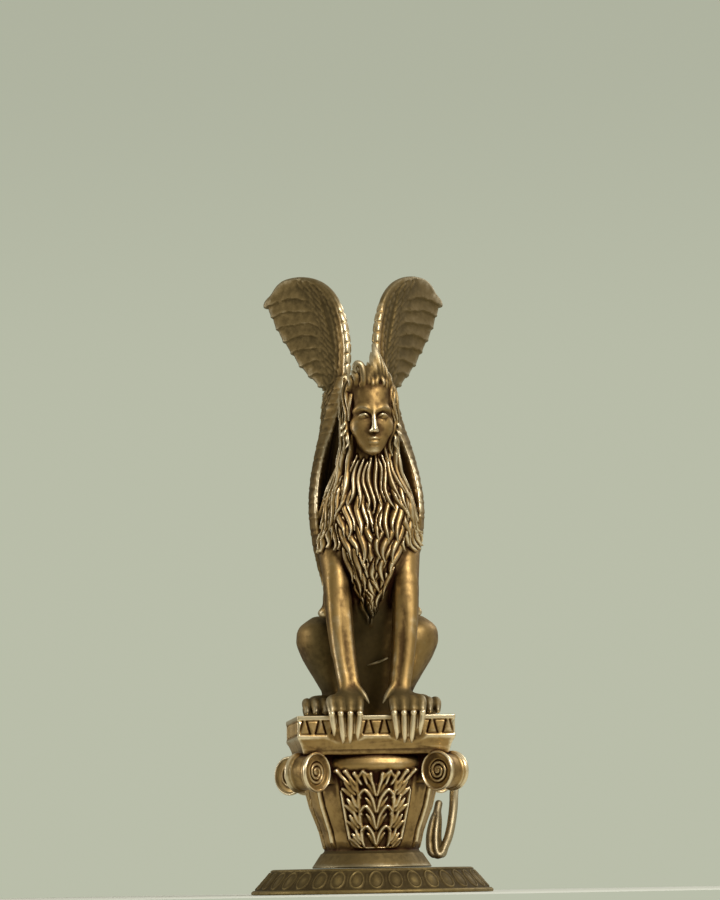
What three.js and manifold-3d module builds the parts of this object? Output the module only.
// Sphinx statue: a seated winged sphinx cast in brass, on a capital-shaped plinth with a round foot plate.
// Millimetres, +Z up, front towards -Y, origin at the centre of the underside.
import * as THREE from "three";
import { mergeVertices } from "three/addons/utils/BufferGeometryUtils.js";
import Module from "manifold-3d";

const wasm = await Module();
wasm.setup();

// ---- driving dimensions ----
const GAP = 0.3; // clearance between touching castings
const BASE_R = 58.5; // foot plate radius at the table
const BASE_TOP_R = 47.9; // foot plate radius at its top
const BASE_H = 12; // foot plate height
const OVALS = 36; // ovals round the rim
const FOOT_R = 28.8; // plinth foot radius
const NECK_R = 22.6; // bell radius at its foot
const NECK_Z = 20.3;
const BELL_TOP_R = 33.4; // bell radius under its lip
const LIP_Z = 58.8;
const LIP_R = 35.4;
const MOULD_Z = 66; // underside of the moulding
const FASCIA_Z = 75; // underside of the frieze
const ABACUS_Z = 84.5; // top of the plinth
const ABACUS_HALF = 38; // half side of the plinth top
const TONGUES = 8; // tongues on each side of the frieze
const SCROLL_R = 9.6; // corner scroll radius
const SCROLL_LEN = 13.4; // corner scroll length
const SCROLL_AT = 32.8; // scroll centre in x and y
const SCROLL_Z = 57.7;
const LEAF_HALF_TOP = 18.6; // leaf panel half width at its top
const LEAF_HALF_FOOT = 11.2;
const LEAF_TIERS = 4;
const HEAD_AT = [0, -26.5, 230]; // middle of the head
const HEAD_TURN = 5; // degrees, the head looks slightly to its left
const WING_ROOT = [6.5, 7]; // where the upper wing's flat plane starts
const WING_DIR = [0.64, 0.768]; // plan direction of the upper wing
const BAND = 6.4; // spacing of the feather bands
const SIT_Z = ABACUS_Z + GAP; // the figure's own underside

// ---- mesh helpers ----
const vec = (p) => new THREE.Vector3(p[0], p[1], p[2]);
const lerp = (a, b, t) => a + (b - a) * t;
const mix = (p, q, t) => p.map((c, i) => lerp(c, q[i], t));
const mirrorX = (p) => [-p[0], p[1], p[2]];

// A solid from closed rings of points, all with the same count; the ends are closed with a fan.
function loft(rings) {
  const n = rings[0].length;
  const pos = [];
  const tri = [];
  for (const ring of rings) {
    for (const p of ring) pos.push(p[0], p[1], p[2]);
  }
  for (let k = 0; k + 1 < rings.length; k++) {
    for (let i = 0; i < n; i++) {
      const j = (i + 1) % n;
      const a = k * n + i;
      const b = k * n + j;
      const c = a + n;
      const d = b + n;
      tri.push(a, b, d, a, d, c);
    }
  }
  const last = (rings.length - 1) * n;
  for (let i = 1; i + 1 < n; i++) {
    tri.push(0, i + 1, i);
    tri.push(last, last + i, last + i + 1);
  }
  return solid(pos, tri);
}

// A manifold solid from positions and triangles, turned the right way out.
function solid(pos, tri) {
  const raw = new THREE.BufferGeometry();
  raw.setAttribute("position", new THREE.BufferAttribute(new Float32Array(pos), 3));
  raw.setIndex(tri);
  const g = mergeVertices(raw, 1e-4);
  const idx = [];
  const at = g.index.array;
  for (let i = 0; i < at.length; i += 3) {
    if (at[i] !== at[i + 1] && at[i + 1] !== at[i + 2] && at[i] !== at[i + 2]) {
      idx.push(at[i], at[i + 1], at[i + 2]);
    }
  }
  let made = fromArrays(g.attributes.position.array, idx);
  if (made.volume() < 0) {
    const turned = [];
    for (let i = 0; i < idx.length; i += 3) turned.push(idx[i], idx[i + 2], idx[i + 1]);
    made = fromArrays(g.attributes.position.array, turned);
  }
  return made;
}

function fromArrays(vertProperties, idx) {
  return new wasm.Manifold(
    new wasm.Mesh({ numProp: 3, vertProperties, triVerts: new Uint32Array(idx) }),
  );
}

// A three.js geometry as a solid.
function fromGeometry(geometry) {
  const g = geometry.clone();
  g.deleteAttribute("normal");
  g.deleteAttribute("uv");
  const m = mergeVertices(g, 1e-4);
  return solid(Array.from(m.attributes.position.array), Array.from(m.index.array));
}

const join = (list) => list.reduce((a, b) => a.add(b));

// The same solid with any sealed pocket between joined details filled.
function filled(made) {
  const raw = made.getMesh();
  const tri = raw.triVerts;
  const boss = Array.from({ length: raw.vertProperties.length / 3 }, (_, i) => i);
  const find = (i) => {
    while (boss[i] !== i) {
      boss[i] = boss[boss[i]];
      i = boss[i];
    }
    return i;
  };
  for (let i = 0; i < tri.length; i += 3) {
    boss[find(tri[i])] = find(tri[i + 1]);
    boss[find(tri[i + 1])] = find(tri[i + 2]);
  }
  const corner = (i) => new THREE.Vector3().fromArray(raw.vertProperties, 3 * tri[i]);
  const volume = new Map();
  for (let i = 0; i < tri.length; i += 3) {
    const v = corner(i).dot(corner(i + 1).cross(corner(i + 2))) / 6;
    const shell = find(tri[i]);
    volume.set(shell, (volume.get(shell) || 0) + v);
  }
  const kept = [];
  for (let i = 0; i < tri.length; i += 3) {
    if (volume.get(find(tri[i])) > 0) kept.push(tri[i], tri[i + 1], tri[i + 2]);
  }
  return fromArrays(raw.vertProperties, kept);
}

function lathe(profile, segments) {
  const pts = profile.map(([r, z]) => new THREE.Vector2(r, z));
  const g = new THREE.LatheGeometry(pts, segments);
  g.rotateX(Math.PI / 2);
  return fromGeometry(g);
}

// A horizontal ellipse of points: station = [x, y, z, rx, ry].
function ellipse([x, y, z, rx, ry], n) {
  const ring = [];
  for (let i = 0; i < n; i++) {
    const a = (2 * Math.PI * (i + 0.5)) / n;
    ring.push([x + rx * Math.cos(a), y + ry * Math.sin(a), z]);
  }
  return ring;
}

const limb = (stations, n) => loft(stations.map((s) => ellipse(s, n)));

// A bar along points. sizes = [half width, half depth] at each point; up(i) gives the depth direction.
function bar(points, sizes, up, n = 6) {
  const rings = [];
  const pts = points.map(vec);
  for (let i = 0; i < pts.length; i++) {
    const before = pts[Math.max(i - 1, 0)];
    const after = pts[Math.min(i + 1, pts.length - 1)];
    const along = after.clone().sub(before).normalize();
    const depth = vec(up(i)).addScaledVector(along, -vec(up(i)).dot(along)).normalize();
    const side = new THREE.Vector3().crossVectors(along, depth).normalize();
    const ring = [];
    for (let k = 0; k < n; k++) {
      const a = (2 * Math.PI * k) / n;
      const p = pts[i]
        .clone()
        .addScaledVector(side, Math.cos(a) * sizes[i][0])
        .addScaledVector(depth, Math.sin(a) * sizes[i][1]);
      ring.push([p.x, p.y, p.z]);
    }
    rings.push(ring);
  }
  return loft(rings);
}

// A tapered lock of hair along points; it swells after its root and ends in a point.
function lock(points, width, depth, up) {
  const last = points.length - 1;
  const sizes = points.map((_, i) => {
    const t = i / last;
    const f = t < 0.3 ? lerp(0.7, 1, t / 0.3) : lerp(1, 0.22, (t - 0.3) / 0.7);
    return [width * f, depth * f];
  });
  return bar(points, sizes, up, 4);
}

// A value from a table of [key, ...values], by straight lines between its rows.
function table(rows, key) {
  if (key <= rows[0][0]) return rows[0].slice(1);
  for (let i = 0; i + 1 < rows.length; i++) {
    if (key <= rows[i + 1][0]) {
      const t = (key - rows[i][0]) / (rows[i + 1][0] - rows[i][0]);
      return mix(rows[i].slice(1), rows[i + 1].slice(1), t);
    }
  }
  return rows[rows.length - 1].slice(1);
}

// ---- foot plate ----
// Rows up the rim: radius, height, rise of an oval's crown.
const RIM = [
  [BASE_R, 0, 0],
  [BASE_R - 2.4, 3.9, 1.9],
  [BASE_TOP_R + 3.8, 9.1, 1.9],
  [BASE_TOP_R + 1.6, BASE_H - 1.3, 0],
  [BASE_TOP_R, BASE_H, 0],
];

// A round plate whose sloped rim swells into a row of ovals.
function makeBase() {
  const columns = 2 * OVALS;
  const rings = RIM.map(([r, z, rise]) => {
    const ring = [];
    for (let i = 0; i < columns; i++) {
      const a = (2 * Math.PI * (i + 0.5)) / columns;
      const crown = (i % 2) * rise - (rise ? 0.8 : 0);
      const out = r + crown * 0.6;
      ring.push([out * Math.cos(a), out * Math.sin(a), z + crown * 0.8]);
    }
    return ring;
  });
  return loft(rings);
}

// ---- plinth ----
const BELL = [
  [NECK_Z, NECK_R],
  [30, 24.6],
  [42, 29.2],
  [LIP_Z - 0.6, BELL_TOP_R],
];
const bellR = (z) => table(BELL, z)[0];

function makeCapital() {
  const z0 = BASE_H + GAP;
  const core = lathe(
    [
      [0, z0],
      [FOOT_R, z0],
      [FOOT_R - 0.6, z0 + 3],
      [FOOT_R - 3, NECK_Z - 1.6],
      ...BELL.map(([z, r]) => [r, z]),
      [LIP_R, LIP_Z + 2],
      [LIP_R - 1.3, MOULD_Z + 0.7],
      [0, MOULD_Z + 0.7],
    ],
    20,
  );
  const parts = [core, makeAbacus()];
  for (let k = 0; k < 4; k++) {
    parts.push(makeScroll(Math.PI / 4 + (k * Math.PI) / 2));
    parts.push(makeLeaf(-Math.PI / 2 + (k * Math.PI) / 2));
  }
  return join(parts);
}

function square(half, z) {
  return [[-half, -half, z], [half, -half, z], [half, half, z], [-half, half, z]];
}

function makeAbacus() {
  const h = ABACUS_HALF;
  const field = h - 0.8;
  const block = loft([
    square(h - 3.4, MOULD_Z),
    square(h - 2.6, MOULD_Z + 1.6),
    square(h - 2, MOULD_Z + 4.6),
    square(h - 0.7, FASCIA_Z - 1.6),
    square(h, FASCIA_Z - 1.2),
    square(h, FASCIA_Z + 0.4),
    square(field, FASCIA_Z + 0.4),
    square(field, ABACUS_Z - 2.2),
    square(h, ABACUS_Z - 2.2),
    square(h, ABACUS_Z),
  ]);
  const parts = [block];
  const pitch = (2 * h) / TONGUES;
  for (let side = 0; side < 4; side++) {
    for (let k = 0; k < TONGUES; k++) {
      parts.push(tongue(-h + pitch * (k + 0.5), pitch, side));
    }
  }
  return join(parts);
}

// A raised tongue of the frieze, pointed at its top.
function tongue(along, pitch, side) {
  const z0 = FASCIA_Z + 0.7;
  const z1 = ABACUS_Z - 2.5;
  const wide = pitch * 0.36;
  const outline = [[-wide, z0], [wide, z0], [0, z1]];
  const turn = (side * Math.PI) / 2;
  const ring = (out, shrink) =>
    outline.map(([a, z]) => {
      const x = along + a * shrink;
      const y = -out;
      return [
        x * Math.cos(turn) - y * Math.sin(turn),
        x * Math.sin(turn) + y * Math.cos(turn),
        z,
      ];
    });
  return loft([ring(ABACUS_HALF - 1.6, 1), ring(ABACUS_HALF - 0.15, 0.86)]);
}

// A corner scroll: a waisted roll across the corner, with a spiral on each end.
function makeScroll(corner) {
  const half = SCROLL_LEN / 2;
  const r = SCROLL_R;
  const profile = [
    [0, -half + 1.0],
    [r - 2.1, -half + 1.0],
    [r - 1.2, -half],
    [r, -half + 1],
    [r - 1.5, -half + 4.4],
    [r - 1.5, half - 4.4],
    [r, half - 1],
    [r - 1.2, half],
    [r - 2.1, half - 1.0],
    [0, half - 1.0],
  ];
  let roll = lathe(profile, 8);
  for (const end of [-1, 1]) roll = roll.add(spiral(end, half - 1.0));
  const turn = new THREE.Matrix4()
    .makeRotationZ(corner)
    .multiply(new THREE.Matrix4().makeRotationX(Math.PI / 2));
  const at = new THREE.Matrix4().makeTranslation(
    SCROLL_AT * Math.SQRT2 * Math.cos(corner),
    SCROLL_AT * Math.SQRT2 * Math.sin(corner),
    SCROLL_Z,
  );
  return moved(roll, at.multiply(turn)).add(web(corner));
}

// The thick band that carries the scroll from the bell's lip.
function web(corner) {
  const ring = (out, low, high) =>
    [[-5, low], [5, low], [5, high], [-5, high]].map(([side, z]) => [
      out * Math.cos(corner) - side * Math.sin(corner),
      out * Math.sin(corner) + side * Math.cos(corner),
      z,
    ]);
  return loft([ring(27, 52, MOULD_Z + 2), ring(44, 53, MOULD_Z + 2)]);
}

// A spiral ridge on a scroll's end face, with a boss at its eye.
function spiral(end, level) {
  const points = [];
  const sizes = [];
  const steps = 6;
  for (let i = 0; i <= steps; i++) {
    const t = i / steps;
    const a = end * (Math.PI / 2 - t * 3.1 * Math.PI);
    const r = lerp(SCROLL_R - 2.6, 1.2, t);
    points.push([r * Math.cos(a), r * Math.sin(a), end * level]);
    sizes.push([lerp(0.95, 0.6, t), 0.85]);
  }
  return bar(points, sizes, () => [0, 0, end], 3);
}

function moved(made, matrix) {
  return made.transform(Array.from(matrix.elements));
}

// A point on the bell's surface at an angle and height, lifted outwards.
function onBell(angle, z, lift) {
  const r = bellR(z) + lift;
  return [r * Math.cos(angle), r * Math.sin(angle), z];
}

// Columns across half a leaf: place from spine to rim, and how much each takes part in the lobes.
const LEAF_COLUMNS = [[0, 0.7], [0.2, 0], [0.42, 1], [0.62, 0], [0.86, 1]];

// An acanthus leaf panel: a rimmed field with a spine and tiers of lobes, each proud at its top.
function makeLeaf(facing) {
  const foot = NECK_Z + 0.6;
  const top = LIP_Z + 0.6;
  const half = (z) => lerp(LEAF_HALF_FOOT, LEAF_HALF_TOP, (z - foot) / (top - foot));
  const tall = (top - foot) / LEAF_TIERS;
  const rings = [];
  for (let tier = 0; tier < LEAF_TIERS; tier++) {
    for (const [t, rise] of [[0, 0.4], [0.86, 2.2]]) {
      rings.push(leafRing(facing, foot + tall * (tier + t), rise, half));
    }
  }
  rings.push(leafRing(facing, top, 0.2, half));
  return loft(rings);
}

function leafRing(facing, level, rise, half) {
  const ring = [];
  const add = (s, part) => {
    const z = level - (1 - Math.abs(s)) * 1.5 + part * 1.2;
    const side = (half(level) * s) / (bellR(z) + 1);
    ring.push(onBell(facing + Math.asin(side), z, 0.5 + rise * part));
  };
  for (const [s, part] of [...LEAF_COLUMNS].reverse()) add(-s, part);
  for (const [s, part] of LEAF_COLUMNS.slice(1)) add(s, part);
  for (const s of [0.8, -0.8]) {
    ring.push(onBell(facing + Math.asin((half(level) * s) / bellR(level)), level, -5));
  }
  return ring;
}

// ---- the figure ----
// Rows: height, centre y, half width, half depth.
const TORSO = [
  [SIT_Z, 15, 17, 18],
  [98, 14.5, 19.3, 19.8],
  [118, 9, 18.6, 20.5],
  [140, -2, 18, 22],
  [155, -8, 20.5, 23],
  [172, -11, 23.6, 23],
  [183, -12.4, 22.8, 21],
  [195, -14.4, 19, 18.4],
  [210, -18, 12.8, 15],
  [232, -20, 9, 11],
];

// The body's front surface, lifted forwards.
function onChest(x, z, lift) {
  const [cy, rx, ry] = table(TORSO, z);
  const f = Math.min(Math.abs(x) / (rx + 1.5), 0.985);
  return [x, cy - ry * Math.sqrt(1 - f * f) - lift, z];
}

function makeTorso() {
  return limb(TORSO.map(([z, cy, rx, ry]) => [0, cy, z, rx, ry]), 10);
}

function makeHaunch(s) {
  const rows = [
    [16, 10, SIT_Z, 5.6, 12],
    [16.2, 9, 96, 5.4, 13],
    [19, 8, 106, 7.4, 16],
    [21.2, 6, 116, 10.8, 18],
    [22.2, 4, 124.5, 12.3, 18],
    [22.4, 2, 131.4, 10, 13],
    [22.4, 1, 135.4, 5, 6],
  ];
  return limb(rows.map(([x, y, z, rx, ry]) => [s * x, y, z, rx, ry]), 10);
}

function makeHindFoot(s) {
  const sole = SIT_Z;
  const pad = limb(
    [
      [s * 24, -3, sole, 7.8, 15],
      [s * 24.2, -3, sole + 5, 8.2, 15.5],
      [s * 23.4, 1, sole + 10, 4.6, 11],
    ],
    8,
  );
  const parts = [pad];
  for (const [x0, x1, y1] of [[30, 31.4, -16], [26.6, 27.4, -18.5], [22.8, 23, -19], [19.2, 18.8, -17.5]]) {
    const points = [
      [s * x0 * 0.97, -6, sole + 6],
      [s * lerp(x0, x1, 0.6), y1 + 5, sole + 6.2],
      [s * x1, y1 - 1.6, sole + 2.6],
    ];
    parts.push(bar(points, [[1.9, 2.6], [2.3, 2.8], [1.9, 2.2]], () => [0, 0, 1], 4));
  }
  return join(parts);
}

function makeFrontLeg(s) {
  const rows = [
    [13.2, -33, SIT_Z, 6.6, 7.5],
    [12.7, -32, 91, 6.4, 7.6],
    [11.8, -30, 97, 5.5, 6.1],
    [12.9, -28.5, 105, 5.4, 5.8],
    [14.4, -27, 117, 5.8, 6.3],
    [15.7, -25, 134, 6.2, 7.4],
    [16.4, -20.5, 152, 6.9, 9.2],
    [16.6, -12.5, 171, 8.6, 10.5],
  ];
  const parts = [limb(rows.map(([x, y, z, rx, ry]) => [s * x, y, z, rx, ry]), 8)];
  // Four long toes: a knuckle on top, then a slender claw hanging over the plinth's edge.
  const toes = [
    [8.2, 9.3, 72.4],
    [12.8, 13, 70.8],
    [17.4, 16.4, 70.7],
    [21.6, 20.5, 74.4],
  ];
  for (const [knuckle, end, low] of toes) {
    const points = [
      [s * lerp(knuckle, 13, 0.45), -32, 93],
      [s * knuckle, -38.6, 91.4],
      [s * knuckle, -42, 87.6],
      [s * end, -41.3, low + 4],
      [s * end, -40.6, low],
    ];
    const sizes = [[1.8, 2.6], [2.2, 2.6], [2.3, 2.5], [1.6, 1.9], [0.5, 0.8]];
    parts.push(bar(points, sizes, (i) => (i < 2 ? [0, 0, 1] : [0, -1, 0.3]), 4));
  }
  // The dew claw, running inwards from the wrist.
  parts.push(
    bar(
      [[s * 9.5, -34.5, 99], [s * 5.6, -36.5, 94.5], [s * 3.4, -37, 90.5]],
      [[1.4, 1.4], [1.8, 1.8], [0.7, 0.8]],
      () => [0, -1, 0],
      4,
    ),
  );
  return join(parts);
}

// Mane: tiers of locks down the front. Rows: top z, bottom z, half spread at top and bottom, count
// of locks, and how far the tier stands off the chest.
const MANE = [
  [216, 186, 9, 22.5, 9, 0.3],
  [198, 172, 17, 21, 7, 1.6],
  [184, 158, 16, 16, 5, 3.0],
  [169, 146, 12, 10.5, 4, 4.4],
  [155, 134, 6.5, 3.6, 2, 6.4],
];

function makeMane() {
  const parts = MANE.map(maneTier);
  // Locks over each shoulder.
  for (const s of [-1, 1]) {
    for (let k = 0; k < 2; k++) {
      const points = [];
      for (let i = 0; i <= 2; i++) {
        const t = i / 2;
        points.push([
          s * (lerp(18, 20.6, t) + k * 1.3 + Math.sin(t * 5) * 0.8),
          lerp(-26, -24, t) + k * 6.5 - t * 1.5,
          lerp(182, 149 + k * 4, t),
        ]);
      }
      parts.push(lock(points, 2.2, 2.2, () => [s * 0.6, -0.8, 0]));
    }
  }
  return join(parts);
}

// One tier: a shell whose front is pleated into locks that end in points.
function maneTier([top, low, wideTop, wideLow, count, lift]) {
  const rows = 3;
  const rings = [];
  for (let i = 0; i <= rows; i++) {
    const t = i / rows;
    const ring = [];
    for (let j = 0; j <= 2 * count; j++) {
      const s = j / count - 1;
      const crest = j % 2;
      const tip = crest ? 1 : 0.8;
      const sway = 1.1 * Math.sin(t * 5 + j) * (top > 200 ? 0.2 : 1);
      const x = s * lerp(wideTop, wideLow, t * tip) + sway;
      const z = lerp(top, low, t * tip) + 3 * Math.abs(s) * t;
      const swell = Math.sin(Math.PI * Math.min(t + 0.15, 1));
      ring.push(onChest(x, z, lift * Math.min(t * 3, 1) + crest * 2 - 0.4 + swell * 1.2));
    }
    ring.push(...backEdge(ring));
    rings.push(ring);
  }
  const closing = rings[rows].map(([x, , z]) => onChest(x, z + 2, -3));
  rings.push(closing);
  return loft(rings);
}

// Two points well inside the body that close a tier's ring.
function backEdge(ring) {
  const [x0, , z0] = ring[ring.length - 1];
  const [x1, , z1] = ring[0];
  return [onChest(x0 * 0.9, z0, -4), onChest(x1 * 0.9, z1, -4)];
}

// Head: rings round an upright axis; each row is height above the middle, half width, front reach
// of the face, back reach.
const HEAD_ROWS = [
  [-19.6, 2.2, 11.6, 3],
  [-17.6, 4.6, 13.2, 5],
  [-14.6, 6.2, 13.3, 7],
  [-12.4, 7.0, 13.5, 8],
  [-9.4, 7.9, 13.6, 9.6],
  [-5, 9.0, 13.7, 11],
  [-2, 9.3, 13.6, 12.4],
  [1.4, 9.7, 13.6, 12],
  [8, 10.2, 13.2, 12],
  [15, 9.4, 10.2, 10],
  [21, 5, 4, 6],
];

// Raised and hollow places of a plain face: [side, height, half width, half height, rise].
const FACE = [
  [0, -5.8, 1.5, 4.2, 1.3],
  [0, -8.8, 2.1, 1.5, 1.9],
  [0, -3, 1.2, 4, 0.7],
  [0, -12.3, 3.2, 1.0, 0.9],
  [0, -14.6, 2.6, 1.1, 0.8],
  [0, -18, 2.6, 1.9, 0.9],
  [0, -13.4, 3.2, 0.55, -0.5],
  [-4.3, -1.9, 2.2, 1.7, -1.0],
  [4.3, -1.9, 2.2, 1.7, -1.0],
  [-4.3, 1.3, 3.0, 1.0, 0.6],
  [4.3, 1.3, 3.0, 1.0, 0.6],
];

function makeHead() {
  const angles = [];
  for (let i = 0; i < 18; i++) {
    const t = (i / 18) * 2 - 1;
    angles.push(Math.PI * Math.sign(t) * Math.pow(Math.abs(t), 1.5));
  }
  const rings = HEAD_ROWS.map(([z, rx, front, back]) =>
    angles.map((a) => {
      const x = rx * Math.sin(a);
      const reach = Math.cos(a) > 0 ? front : back;
      let y = -reach * Math.cos(a);
      if (Math.cos(a) > 0) {
        for (const [fx, fz, fw, fh, rise] of FACE) {
          const d = ((x - fx) / fw) ** 2 + ((z - fz) / fh) ** 2;
          y -= rise * Math.exp(-d);
        }
      }
      return [x, y, z];
    }),
  );
  const parts = [loft(rings), hairMantle()];
  // Ear locks.
  for (const s of [-1, 1]) {
    parts.push(
      bar(
        [[s * 10.2, -7, 1], [s * 12.2, -7.6, -4], [s * 11, -7.4, -9]],
        [[1.2, 1.6], [1.7, 2.0], [1.0, 1.2]],
        () => [s, 0, 0],
        5,
      ),
    );
  }
  for (const [x0, y0, z0, x1, y1, z1, w] of CREST) {
    const list = [
      [x0, y0 + 1, z0 - 3],
      [x0 + (x1 - x0) * 0.3, y0 - 0.6, lerp(z0, z1, 0.5)],
      [x1, y1, z1],
    ];
    parts.push(lock(list, w, w * 0.85, () => [0, -1, 0.2]));
  }
  const turn = new THREE.Matrix4().makeRotationZ((HEAD_TURN * Math.PI) / 180);
  const nod = new THREE.Matrix4().makeRotationX((4 * Math.PI) / 180);
  const at = new THREE.Matrix4().makeTranslation(...HEAD_AT);
  return moved(join(parts), at.multiply(turn).multiply(nod));
}

// Standing locks on the crown, the largest one over the figure's left: root, tip, half width.
const CREST = [
  [-8, -6.5, 12.5, -10.6, -4, 20, 2.4],
  [-4.8, -8.5, 14, -6, -7, 25, 2.6],
  [-1.2, -9.5, 14.5, -2, -7, 26.5, 2.5],
  [2.8, -9, 14.5, 3.4, -5, 27, 2.6],
  [4.6, -7.5, 14, 5, -3, 34.5, 3.9],
  [-2, 2, 17, -2, 8, 26, 3.4],
  [5, 2, 16, 6, 8, 25, 3.4],
];

// Rows of the hair: height, half width, front edge y, back y, angle in degrees it leaves open in front.
const HAIR = [
  [17, 8.6, 9.5, 9.5, 0],
  [12, 11.8, 11, 13.4, 48],
  [2, 13.1, 12.3, 15, 57],
  [-13, 13.8, 12.6, 15.4, 58],
  [-24, 15.4, 12, 18, 50],
  [-44, 17, 7, 21.6, 72],
];

// The hair round the head and down the neck, pleated into locks.
function hairMantle() {
  const columns = 18;
  const rings = HAIR.map(([z, rx, front, back, open], row) => {
    const ring = [];
    for (let j = 0; j <= columns; j++) {
      const start = (open * Math.PI) / 180;
      const a = start + ((2 * Math.PI - 2 * start) * j) / (columns + (open ? 0 : 1));
      const crest = row === 0 ? 0 : ((j + (row > 3 ? 1 : 0)) % 2) * 1.3;
      const reach = Math.cos(a) > 0 ? front : back;
      const size = 1 + crest / rx;
      ring.push([rx * size * Math.sin(a), -reach * size * Math.cos(a), z]);
    }
    return ring;
  });
  return loft(rings);
}

// ---- wings ----
// A point of the upper wing's plane: u outwards, z up, n off the plane towards the outer face.
function onWing(s, u, z, n) {
  const x = WING_ROOT[0] + WING_DIR[0] * u + WING_DIR[1] * n;
  const y = WING_ROOT[1] + WING_DIR[1] * u - WING_DIR[0] * n;
  return [s * x, y, z];
}

// Lower edges of the primary feathers in the wing's plane: inner u, z; middle u, z; tip u, z.
const PRIMARIES = [
  [5.4, 243, 12, 246.5, 20.2, 247],
  [4.2, 249, 14, 254, 27.2, 252],
  [3.6, 255, 17, 260, 34.2, 257.4],
  [3.2, 261, 20, 267.4, 40.9, 265.4],
  [3.0, 267, 24, 273.8, 45.8, 272],
  [2.8, 273, 27, 280, 50.6, 278.6],
  [3.0, 279, 30, 286.2, 53.8, 284.8],
  [4.6, 286, 34, 293, 59, 291],
  [8.4, 292.6, 34, 299.6, 57.4, 294.8],
];
// The rounded top of the fan.
const FAN_TOP = [12.6, 299.4, 31, 305.4, 55, 299];

// Chord of the lower wing: height, front x, y, back x, y.
const CHORD = [
  [150, 18.5, -4, 17.5, 6],
  [160, 21.2, -7, 19, 13],
  [172, 22.9, -9, 20.2, 20],
  [184, 23.4, -9, 20.6, 25],
  [200, 21.9, -5, 20.4, 28],
  [215, 18.8, -1, 19.6, 28],
  [228, 15.4, 3, 18.8, 27],
  [241, 12, 5.4, 18.2, 24.6],
  [252, 9.8, 7.6, 18, 21.6],
];

const makeWing = (s) => join([fan(s), lowerWing(s)]);

// The upper fan: bent feathers laid like shingles, each thin at its top and proud along its lower edge.
function fan(s) {
  const rings = [];
  for (let k = 0; k + 1 < PRIMARIES.length; k++) {
    rings.push(fanRing(s, PRIMARIES[k], 1, 2.2));
    rings.push(fanRing(s, PRIMARIES[k + 1], -1.2, 1.0));
  }
  rings.push(fanRing(s, PRIMARIES[PRIMARIES.length - 1], 0, 2.4));
  rings.push(fanRing(s, FAN_TOP, 0, 0.7, 0.7));
  return loft(rings);
}

function fanRing(s, [u0, z0, u1, z1, u2, z2], reach, thick, root = 3) {
  const rise = reach < 0 ? -0.5 : 0;
  const edge = reach > 0 ? 0.5 : 0;
  const spine = [
    [u0, z0, root + edge],
    [lerp(u0, u1, 0.75), lerp(z0, z1, 0.8), thick],
    [lerp(u1, u2, 0.45), lerp(z1, z2, 0.35) + 0.5, thick],
  ];
  const nose = onWing(s, u0 - root - 0.4 - edge, z0 - 0.5, 0);
  const tip = onWing(s, u2 + reach, z2 + rise, 0);
  const front = spine.map(([u, z, n]) => onWing(s, u, z + rise, n));
  const back = spine.map(([u, z, n]) => onWing(s, u, z + rise, -n)).reverse();
  return [nose, ...front, tip, ...back];
}

// The lower wing: bands stacked like shingles, each proud at its lower edge.
function lowerWing(s) {
  const rings = [];
  const first = CHORD[0][0];
  const last = CHORD[CHORD.length - 1][0];
  const bands = Math.round((last - first) / BAND);
  for (let k = bands; k > 0; k--) {
    const high = lerp(first, last, k / bands);
    const low = lerp(first, last, (k - 1) / bands);
    rings.push(chordRing(s, high, 0));
    rings.push(chordRing(s, low + 0.5, 1.15));
  }
  rings.push(chordRing(s, first, 0));
  return loft(rings);
}

function chordRing(s, z, proud) {
  const [fx, fy, bx, by] = table(CHORD, z);
  const thick = 3.3 + proud;
  const ring = [];
  const shape = [[-0.16, 0], [0.12, -1.35], [1.03, 0], [0.12, 1.35]];
  const length = Math.hypot(bx - fx, by - fy);
  const dx = (bx - fx) / length;
  const dy = (by - fy) / length;
  for (const [t, n] of shape) {
    const x = fx + dx * t * length + dy * n * thick;
    const y = fy + dy * t * length - dx * n * thick - (t < 0 ? proud : 0);
    const drop = 5 * Math.max(t, 0);
    ring.push([s * x, y, z - drop]);
  }
  return ring;
}

// The tail: over the plinth's back edge, round its corner and down to a loop with a tufted end.
function makeTail() {
  const path = new THREE.CatmullRomCurve3(
    [
      [6, 31, 92], [11, 39, 92], [17, 46, 85], [27, 50.5, 74], [37, 50, 64], [44.2, 42, 55],
      [43.6, 31, 46], [42, 25, 36], [38.8, 22, 25.4], [33.6, 20, 17], [29.6, 21, 19],
      [31, 23, 28], [33.4, 26, 36], [35.6, 30, 43],
    ].map(vec),
  );
  const count = 16;
  const points = [];
  const sizes = [];
  for (let i = 0; i <= count; i++) {
    const t = i / count;
    const p = path.getPoint(t);
    points.push([p.x, p.y, p.z]);
    const tuft = Math.exp(-(((t - 0.86) / 0.1) ** 2));
    const r = lerp(2.9, 2.2, Math.min(t * 3, 1)) + 1.2 * tuft;
    sizes.push(i === count ? [0.5, 0.5] : [r, r]);
  }
  return bar(points, sizes, () => [0.62, 0.62, 0.48], 5);
}

function makeSphinx() {
  const parts = [makeTorso(), makeMane(), makeHead(), makeTail()];
  for (const s of [-1, 1]) {
    parts.push(makeHaunch(s), makeHindFoot(s), makeFrontLeg(s), makeWing(s));
  }
  return join(parts);
}

// ---- scene graph ----
function toMesh(made, name, colour, roughness) {
  const raw = filled(made).getMesh();
  const g = new THREE.BufferGeometry();
  g.setAttribute("position", new THREE.BufferAttribute(new Float32Array(raw.vertProperties), 3));
  g.setIndex(Array.from(raw.triVerts));
  g.computeVertexNormals();
  const material = new THREE.MeshStandardMaterial({ color: colour, roughness, metalness: 1 });
  const mesh = new THREE.Mesh(g, material);
  mesh.name = name;
  return mesh;
}

const statue = new THREE.Group();
statue.add(toMesh(makeBase(), "base_plate", 0x6f5424, 0.5));
statue.add(toMesh(makeCapital(), "capital", 0xa9803c, 0.38));
statue.add(toMesh(makeSphinx(), "sphinx", 0xa07838, 0.38));

export default statue;
